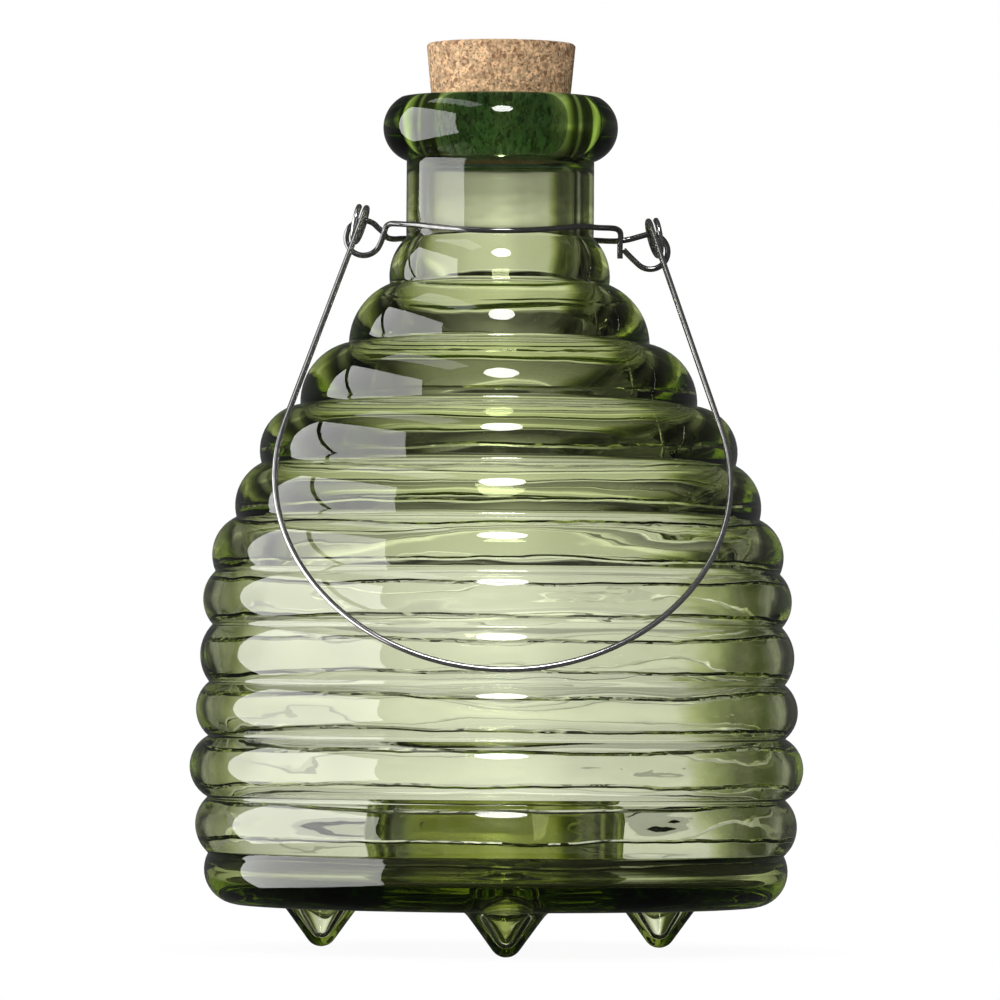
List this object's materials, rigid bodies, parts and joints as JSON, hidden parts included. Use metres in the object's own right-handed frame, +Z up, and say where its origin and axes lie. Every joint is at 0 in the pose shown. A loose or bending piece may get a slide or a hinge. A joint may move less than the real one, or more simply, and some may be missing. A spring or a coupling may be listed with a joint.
{
  "type": "glass fly trap",
  "caption": "Ribbed beehive-shaped glass fly trap on drawn feet, with an entry funnel in its base, a tapered cork and a wire bail on a neck collar.",
  "frame": {"origin": "on the bottle's axis at the tips of the feet, which is the bottom centre of the object's box", "axes": "+Z up the bottle's axis, +X to the right and -Y to the front as the picture sees it"},
  "size_m": [0.1432, 0.1432, 0.2114],
  "materials": {
    "green_glass": "clear gloss",
    "cork": "raw agglomerated cork",
    "wire": "blackened drawn wire"
  },
  "bodies": {
    "glass": {"glass_body": "green_glass", "foot_front": "green_glass", "foot_right": "green_glass", "foot_left": "green_glass"},
    "cork": {"cork_stopper": "cork"},
    "collar": {"neck_wire": "wire"},
    "bail": {"bail_handle": "wire"}
  },
  "joints": [
    {"name": "cork_pull", "type": "slide", "parent": "glass", "child": "cork", "axis": [0, 0, 1], "range_m": [0, 0.045]},
    {"name": "collar_turn", "type": "hinge", "parent": "glass", "child": "collar", "pos_m": [0, 0, 0.16682], "axis": [0, 0, 1], "continuous": true},
    {"name": "bail_swing", "type": "hinge", "parent": "collar", "child": "bail", "pos_m": [0.00165, 0, 0.1677], "axis": [-0.9992, 0, 0.04], "range_deg": [0, 260]}
  ]
}
